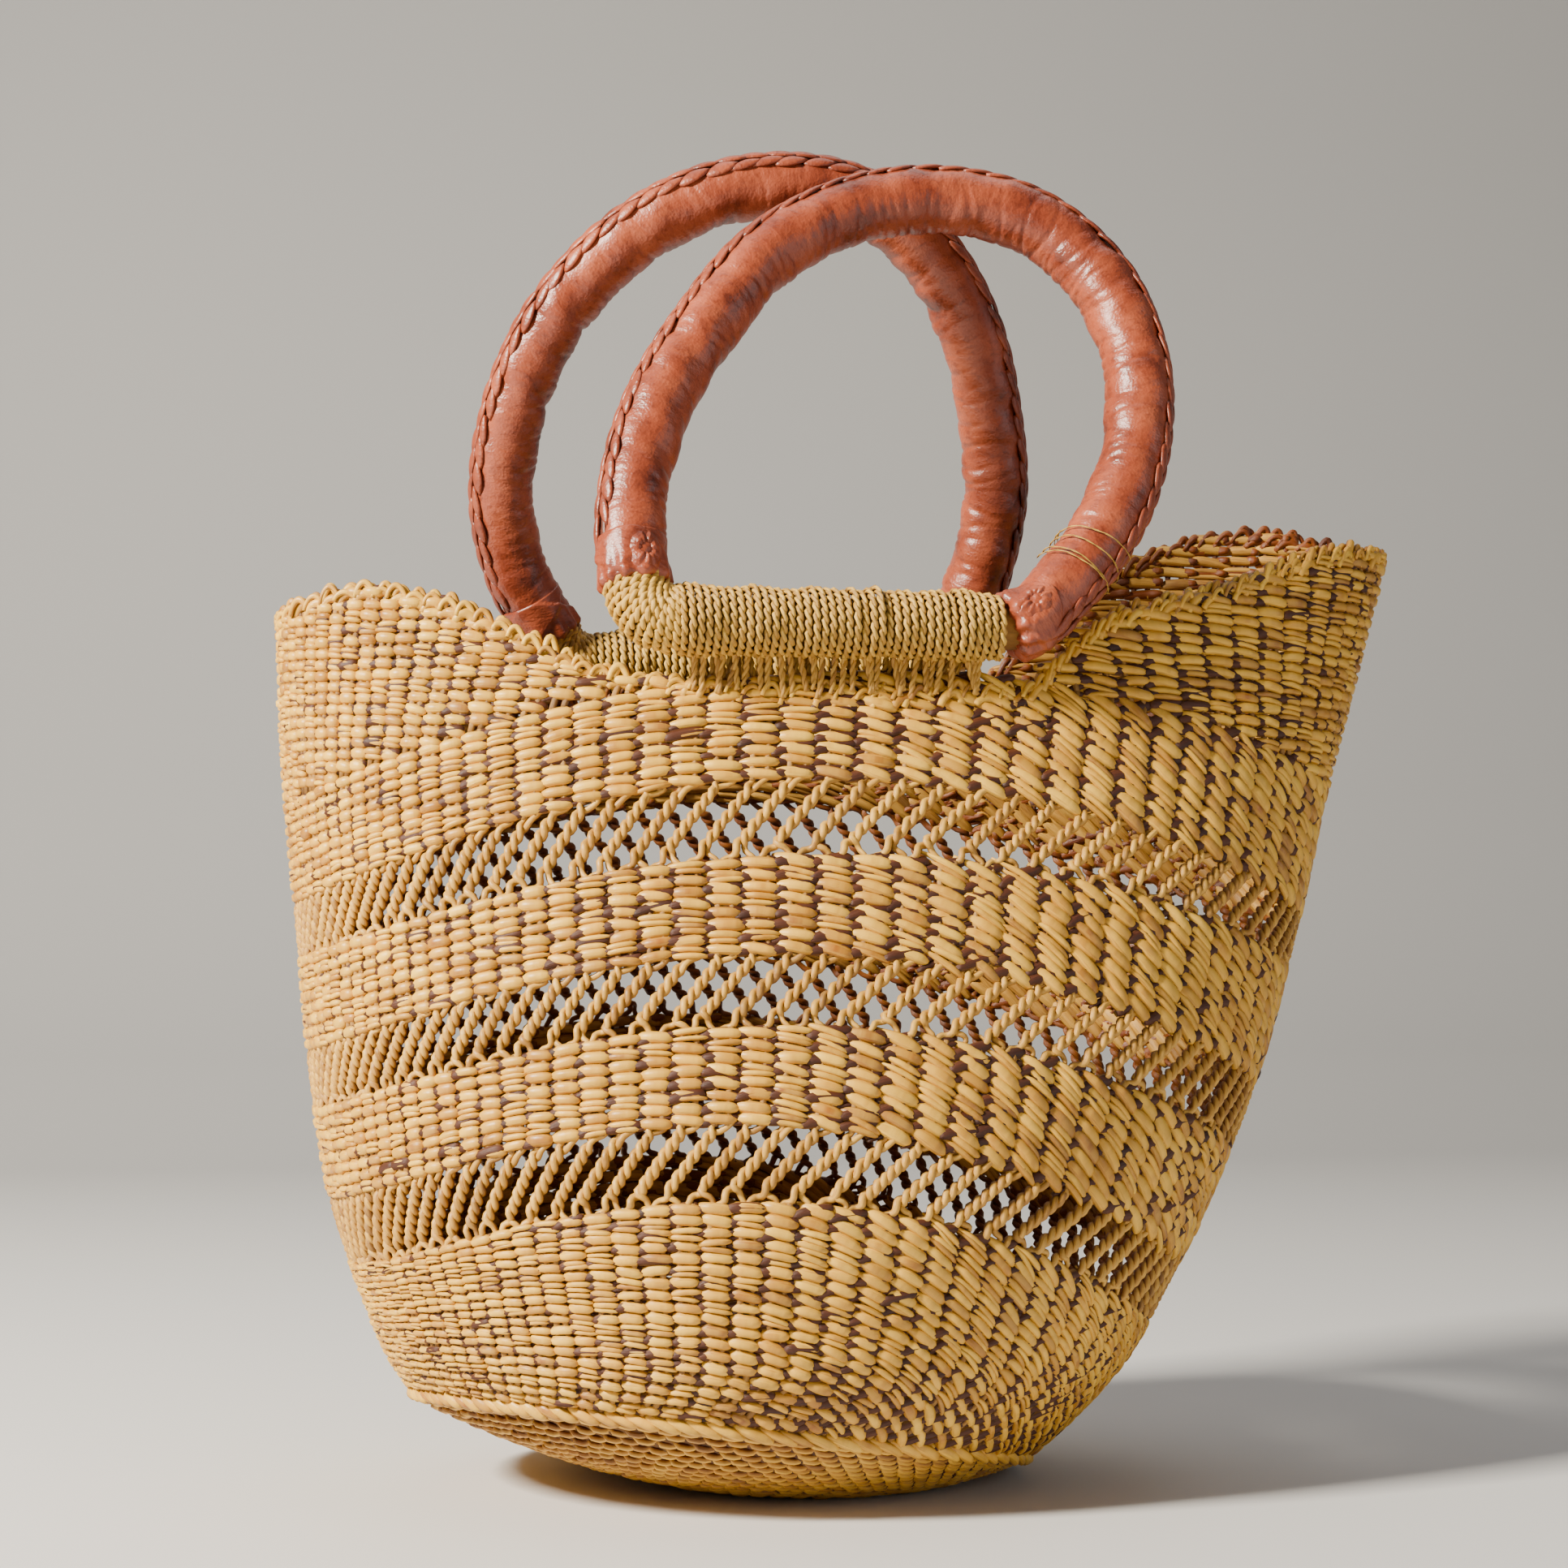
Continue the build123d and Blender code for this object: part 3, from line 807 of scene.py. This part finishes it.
def leather_tube(name, side, path, steps=520, ring=56):
    """The sewn sleeve: lumpy, creased across the inside of its bends, pinched along its seam."""
    centre, outward, forward, length = loop_frame(side, path, steps)
    angle = np.arange(ring) * TURN / ring
    run, turn = np.meshgrid(length, angle, indexing="ij")
    inner_side = fade((-np.cos(turn) - 0.1) / 0.9)
    local = np.random.default_rng(5 + side)
    creases = 0 * run
    for at in np.cumsum(local.uniform(2.5, 7, 160)):
        if at < length[-1]:
            middle = at + 2.5 * np.sin(turn * 1.5 + local.uniform(0, 6))
            creases = creases + local.uniform(0.15, 0.75) * np.exp(-((run - middle) / 0.9) ** 2)
    wander = SEAM + 0.07 * np.sin(run * TURN / LACE_SPACING)
    groove = np.exp(-((np.angle(np.exp(1j * (turn - wander)))) / 0.13) ** 2)
    radius = LEATHER_R - 0.3 + 0.66 * ripple(run, turn, 3 + side)
    radius = radius - creases * (0.35 + 0.65 * inner_side) - 1.6 * groove
    points = centre[:, None] + radius[..., None] * (
        np.cos(turn)[..., None] * outward[:, None] + np.sin(turn)[..., None] * forward)
    grain = np.stack([run, np.abs(turn / TURN - 0.5) * 8, np.full_like(run, 0.1 * side)], -1)
    index = np.arange(steps * ring).reshape(steps, ring)
    faces = skin(index).tolist() + [index[0].tolist(), index[-1, ::-1].tolist()]
    return make_object(name, points.reshape(-1, 3), faces, grain.reshape(-1, 3), LEATHER)


def leaves(side, path):
    """The laced seam: two rows of leaf-shaped tabs that lap over each other."""
    spine, outward, forward, length = loop_frame(side, path, 900)
    starts = np.arange(14.0, length[-1] - 16.0, LACE_SPACING)
    batches = []
    u = np.linspace(0, 1, 9)
    for row in (0, 1):
        base = starts + row * LACE_SPACING / 2 + 0.6 * rng.standard_normal(len(starts))
        at = base[:, None] + u * 11.5
        slide = (1 if row else -1) * (0.09 + 0.21 * (1 - u))
        turn = SEAM + (slide + 0.02 * rng.standard_normal((len(starts), 1)))
        up = np.cos(turn)[..., None] * along(at, length, outward)
        up = up + np.sin(turn)[..., None] * forward
        rise = LEATHER_R - 0.15 + 0.75 * np.sin(math.pi * u) ** 0.7 - 0.5 * (1 - u)
        centre = along(at, length, spine) + up * rise[None, :, None]
        half = np.maximum(2.35 * np.sin(math.pi * np.clip(u * 0.93 + 0.05, 0, 1)) ** 0.75, 0.25)
        uneven = 1 + 0.1 * rng.standard_normal((len(starts), 1))
        batches.append((centre, up, half * uneven, 0.85))
    return batches


def seam_strip(side, path):
    """The dark thong that runs along the bottom of the seam's groove."""
    spine, outward, forward, _ = loop_frame(side, path, 500)
    up = math.cos(SEAM) * outward + math.sin(SEAM) * forward
    return (spine + up * (LEATHER_R - 1.3))[None], up[None], 1.5, 0.7


POINTS_PER_TURN = 44


def winding(path_at, radius, turns, girth, lumps, seed):
    """Two-ply cord wound turn beside turn.

    path_at(share) gives the centre and two cross directions.
    """
    share = np.linspace(0, 1, int(turns * POINTS_PER_TURN))
    local = np.random.default_rng(seed)
    centre, across_a, across_b = path_at(share)
    angle = share * turns * TURN
    knots = int(turns) + 2
    loose = np.interp(share * turns, np.arange(knots), local.standard_normal(knots))
    reach = radius - 2 * girth + lumps * loose * 0.5 + 0.25 * np.sin(3 * angle + share * 30)
    spoke = np.cos(angle)[:, None] * across_a + np.sin(angle)[:, None] * across_b
    middle = centre + spoke * reach[:, None]
    side = unit(np.cross(unit(np.gradient(middle, axis=0)), spoke))
    batches = []
    for strand in (0, 1):
        twist = angle * 9.3 + strand * math.pi
        ply = np.cos(twist)[:, None] * side + np.sin(twist)[:, None] * spoke
        batches.append(((middle + girth * 0.92 * ply)[None], spoke[None], girth, girth))
    return batches


def corner(side, start, turn_point, end, count=40):
    """A bent path through a corner in a loop's plane."""
    t = np.linspace(0, 1, count)[:, None]
    start, turn_point, end = (np.array(p, float) for p in (start, turn_point, end))
    return in_space(side, start * (1 - t) ** 2 + 2 * t * (1 - t) * turn_point + end * t * t)


def along_points(points, side):
    """A path_at function for winding, from points in space."""
    tangent = unit(np.gradient(points, axis=0))
    forward = np.broadcast_to(loop_normal(side), points.shape)
    outward = unit(np.cross(forward, tangent))

    def path_at(share):
        at = share * (len(points) - 1)
        return (along(at, np.arange(len(points)), values) for values in (points, outward, forward))
    return path_at


# The gathered face, from its middle out: how far along the loop, and share of the cap's radius.
CAP_FACE = np.array([(2.6, 0.10), (0.6, 0.16), (-0.6, 0.24), (-1.5, 0.36),
                     (-2.0, 0.52), (-1.9, 0.68), (-1.3, 0.82), (-0.5, 0.93)])


def end_cap(name, side, path, from_end):
    """A folded leather end: a short sleeve gathered into pleats that close its face."""
    spine, length = loop_end(side, path, from_end)
    ring = 96
    at = np.concatenate([CAP_FACE[:, 0], np.linspace(0.6, CAP_LENGTH, 24)])
    factor = np.concatenate([CAP_FACE[:, 1], np.linspace(0.985, 1.0, 24)])
    centre = along(np.maximum(at, 0), length, spine)
    tangent = unit(spine[12] - spine[0])
    face = np.arange(len(at)) < len(CAP_FACE)
    centre[face] = spine[0] + at[face][:, None] * tangent
    forward = loop_normal(side)
    outward = unit(np.cross(forward, tangent)) * (-1 if from_end else 1)
    angle = np.arange(ring) * TURN / ring
    run, turn = np.meshgrid(at, angle, indexing="ij")
    size = np.meshgrid(factor, angle, indexing="ij")[0]
    share = np.clip(run / CAP_LENGTH, 0, 1)
    gather = np.sin(turn * 11 + 1.2 * np.sin(turn * 2 + side) + 1.6 * (1 - size))
    pleats = gather * 0.75 * (1 - share) ** 1.6 * np.clip(size * 1.6, 0, 1)
    overlap = 1.0 * fade((np.sin(turn - 0.9 + share * 2.2) - 0.1) * 5)
    second = 0.7 * fade((np.sin(turn + 2.0 - share * 2.6) - 0.3) * 6)
    radius = (CAP_R - 1.1 + overlap + second - 0.6 * share) * size + pleats
    push = -gather * 0.5 * face[:, None] * np.sin(math.pi * np.clip(size, 0, 1))
    points = centre[:, None] + push[..., None] * tangent + radius[..., None] * (
        np.cos(turn)[..., None] * outward + np.sin(turn)[..., None] * forward)
    grain = np.stack([run * 1.7 + 6 * turn, turn, np.full_like(run, 0.3)], -1)
    index = np.arange(len(at) * ring).reshape(len(at), ring)
    here, there = index[:-1], index[1:]
    order = (here, np.roll(here, -1, 1), np.roll(there, -1, 1), there)
    quads = np.stack(order if from_end else order[::-1], -1).reshape(-1, 4)
    first, last = index[0].tolist(), index[-1].tolist()
    faces = quads.tolist() + ([first[::-1], last] if from_end else [first, last[::-1]])
    return make_object(name, points.reshape(-1, 3), faces, grain.reshape(-1, 3), LEATHER)


def binding(name, side, left, right):
    """Strands from the underside of the bar's winding down into the top rows of the weave.

    There are two rows of them, which meet the wall's two faces.
    """
    count = int((right - left) / 3.1)
    x = np.linspace(left, right, count) + 0.4 * rng.standard_normal(count)
    t = np.linspace(0, 1, 12)
    c, a, _ = section_at(288.0)
    plain = side * np.arccos(np.clip((x - c) / a, -1, 1))
    angle = plain
    for _ in range(12):
        angle = plain - CROWDING * np.sin(angle)
    batches = []
    for reach in (-1, 1):
        hang = side * BAR_Y + (-side) * (4.0 + reach * 3.5)
        foot_z = 284.0 + 1.2 * rng.standard_normal(count)
        aside = 0.012 * rng.standard_normal(count)
        foot = wall_point(angle + aside, foot_z, 0.4 if reach * side > 0 else 4.6)
        head = np.stack([x, hang + 0 * x, 300.0 + 0 * x], -1)
        bend = (foot + head) / 2 + np.array([0, side * reach * 1.2, 0])
        line = (foot[:, None] * ((1 - t) ** 2)[:, None]
                + bend[:, None] * (2 * t * (1 - t))[:, None]
                + head[:, None] * (t * t)[:, None])
        for strand in (0, 1):
            twist = t * TURN * 2.2 + strand * math.pi
            swing = np.stack([np.cos(twist), np.sin(twist), 0 * twist], -1) * 0.6
            batches.append((line + swing, np.array([0, side, 0.2]), 0.72, 0.72))
    return place(tubes(name, ROPE, batches, 6), BASKET, CORDED)


ROSETTE_R = 7.4


def rosette(name, side, path, run, turn_deg, from_end):
    """The puckered knot on a leather end, at a length and a turn: pleats round a small hole."""
    spine, length = loop_end(side, path, from_end)
    middle, ahead = (along(at, length, spine) for at in (run, run + 2))
    tangent = unit(ahead - middle)
    forward = loop_normal(side)
    across = unit(np.cross(forward, tangent))
    tilt = math.radians(turn_deg)
    normal = math.cos(tilt) * forward + math.sin(tilt) * across
    level = unit(np.cross(tangent, normal))
    ring, steps = 64, 11
    radius = np.linspace(0.5, ROSETTE_R, steps)[:, None]
    turn = (np.arange(ring) * TURN / ring)[None]
    waves = np.sin(turn * 5 + 2.2 * np.sin(turn * 2 + side)) + 0.5 * np.sin(turn * 11 + side)
    pleat = waves * 0.34 * np.sin(math.pi * np.clip(radius / ROSETTE_R, 0, 1))
    rise = np.interp(radius, (0.5, 1.4, 3.0, 5.2, ROSETTE_R), (-1.6, 0.4, 1.5, 0.9, -0.7)) + pleat
    a, b = radius * np.cos(turn) * 1.15, radius * np.sin(turn)
    hug = CAP_R - np.sqrt(np.maximum(CAP_R ** 2 - b ** 2, 0))
    height = CAP_R - 0.6 + rise - hug
    points = middle + a[..., None] * tangent + b[..., None] * level + height[..., None] * normal
    grain = np.stack([radius * 1.5 + 0 * turn, turn + 0 * radius, 0 * (radius + turn) + 0.6], -1)
    index = np.arange(steps * ring).reshape(steps, ring)
    faces = skin(index).tolist() + [index[0].tolist()]
    return make_object(name, points.reshape(-1, 3), faces, grain.reshape(-1, 3), LEATHER)


for name, (side, path) in HANDLES.items():
    body = name + "_handle"
    left, right = BAR_ENDS[name]
    covered = [name + "_handle_leather"]
    if name == "front":
        # This handle's leather runs on round its right corner, which has no straw winding.
        path = path[:-1] + ((89, 11), (81.5, 3.0), (right + 4.6, 0))
        covered.append(name + "_right_corner_wrap")
    place(leather_tube(name + "_leather_sleeve", side, path), body, "leather", *covered)
    lace = tubes(name + "_lace_leaves", LEAF, leaves(side, path), 10)
    place(lace, body, "leather", name + "_seam_lace")
    strip = tubes(name + "_seam_strip", LACE, [seam_strip(side, path)], 8)
    place(strip, body, "leather", name + "_seam_lace")

    bar = np.stack([np.linspace(left, right, 50), np.zeros(50)], -1)
    bar_at = along_points(in_space(side, bar), side)
    wound = winding(bar_at, WRAP_R, (right - left) / 2.9, 0.82, 1.0, 21 + side)
    place(tubes(name + "_bar_winding", CORD, wound, 6), BASKET, CORDED, name + "_bar_wrap")
    bind = binding(name + "_binding_strands", side, left + 6.5, right - 6.5)
    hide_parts(name + "_binding")

    # Each end of the bar: the corner's start, its turning point and its end, in the loop's plane.
    (x1, z1), (x2, z2) = path[0], path[-1]
    ends = (
        ("left", (left - 0.8, 0), (x1 + 1, 0), (x1, z1 + 4), False),
        ("right", (right + 0.8, 0), (x2 - 8, 0), (x2 + 1, z2 + 2), True),
    )
    for which, start, turn_point, end, from_end in ends:
        cap = end_cap(f"{name}_{which}_cap", side, path, from_end)
        place(cap, body, "leather", f"{name}_{which}_end_cap")
        if name == "front":
            knot_turn = 12 if from_end else -14
            knot = rosette(f"{name}_{which}_knot", side, path, 8.0, knot_turn, from_end)
            place(knot, body, "leather", f"{name}_{which}_end_cap")
        if name == "front" and from_end:
            continue
        bent = corner(side, start, turn_point, end)
        turns = max(arc_length(bent)[-1] / 2.1, 5)
        wound = winding(along_points(bent, side), CORNER_R, turns, 1.05, 0.4, 31 + side)
        label = f"{name}_{which}_corner"
        place(tubes(label + "_winding", CORD, wound, 6), body, CORDED, label + "_wrap")

# The front handle's right end is tied with a few loose turns of thin thread.
side, path = HANDLES["front"]
spine, _ = loop_end(side, path, True)
loose = winding(along_points(spine[26:48], side), CAP_R + 0.3, 2.0, 0.17, 0.3, 77)
loose += winding(along_points(spine[54:20:-1], side), CAP_R + 0.35, 1.5, 0.16, 0.3, 78)
lashing = tubes("front_lashing_thread", CORD, loose, 6)
place(lashing, "front_handle", "thread", "front_right_lashing")

# The rolled core inside each loop and bar.
for name, (side, path) in HANDLES.items():
    left, right = BAR_ENDS[name]
    bar = [(left - 6, 0), (0, 0), (right + 6, 0)]
    runs = [in_space(side, smooth_path(path, 160)), in_space(side, bar)]
    cores = [(run[None], loop_normal(side), CORE_R, CORE_R) for run in runs]
    core = tubes(name + "_core_roll", SHADED_WARP_STRAW, cores, 20)
    place(core, name + "_handle", "handle_core", name + "_handle_core")


# ---- floor, light and camera ------------------------------------------------------------------
FLOOR_PROFILE = ((-2.5, 0.0), (1.6, 0.0), (2.1, 0.08), (2.45, 0.4), (2.6, 1.0), (2.6, 4.0))
FLOOR_COLOUR = (0.62, 0.61, 0.60, 1)
SKY_COLOUR, SKY_STRENGTH = (0.90, 0.93, 1.0, 1), 0.12
# Each light's name, place, aim, size, power and colour.
LIGHTS = (
    ("key", (-1.65, -0.72, 1.35), (0, 0, 0.25), 0.34, 158, (1.0, 0.93, 0.80)),
    ("fill", (1.7, -1.3, 0.7), (0, 0, 0.25), 1.2, 7, (0.95, 0.97, 1.0)),
    ("top", (0.1, 0.4, 1.9), (0, 0, 0.2), 1.5, 10, (1.0, 0.98, 0.95)),
)
CAMERA_AT, CAMERA_AIM, CAMERA_LENS = (-0.182, -1.034, 0.19), (0.005, 0.0, 0.256), 64.6


def face_along(thing, direction):
    """Turn a light or camera to look along a direction."""
    thing.rotation_euler = direction.to_track_quat("-Z", "Y").to_euler()


def studio():
    """A pale floor that curves up into a backdrop, soft lights and the camera."""
    points = [(x, y, z) for y, z in FLOOR_PROFILE for x in (-5, 5)]
    faces = [(2 * i, 2 * i + 1, 2 * i + 3, 2 * i + 2) for i in range(len(FLOOR_PROFILE) - 1)]
    mesh = bpy.data.meshes.new("floor")
    mesh.from_pydata(points, [], faces)
    mesh.shade_smooth()
    paint = bpy.data.materials.new("floor_paint")
    paint.use_nodes = True
    shader = paint.node_tree.nodes["Principled BSDF"]
    shader.inputs["Base Color"].default_value = FLOOR_COLOUR
    shader.inputs["Roughness"].default_value = 0.7
    mesh.materials.append(paint)
    floor = linked("floor", mesh)

    for label, at, aim, size, power, colour in LIGHTS:
        light = bpy.data.lights.new(label, "AREA")
        light.size, light.energy, light.color = size, power, colour
        holder = linked(label, light)
        holder.location = at
        face_along(holder, Vector((np.array(aim) - np.array(at)).tolist()))

    world = bpy.data.worlds.new("studio")
    world.use_nodes = True
    background = world.node_tree.nodes["Background"]
    background.inputs["Color"].default_value = SKY_COLOUR
    background.inputs["Strength"].default_value = SKY_STRENGTH
    bpy.context.scene.world = world

    lens = bpy.data.cameras.new("camera")
    lens.lens, lens.sensor_width = CAMERA_LENS, 36.0
    camera = linked("camera", lens)
    camera.location = CAMERA_AT
    face_along(camera, Vector(CAMERA_AIM) - camera.location)
    bpy.context.scene.camera = camera


studio()
bpy.context.view_layer.update()
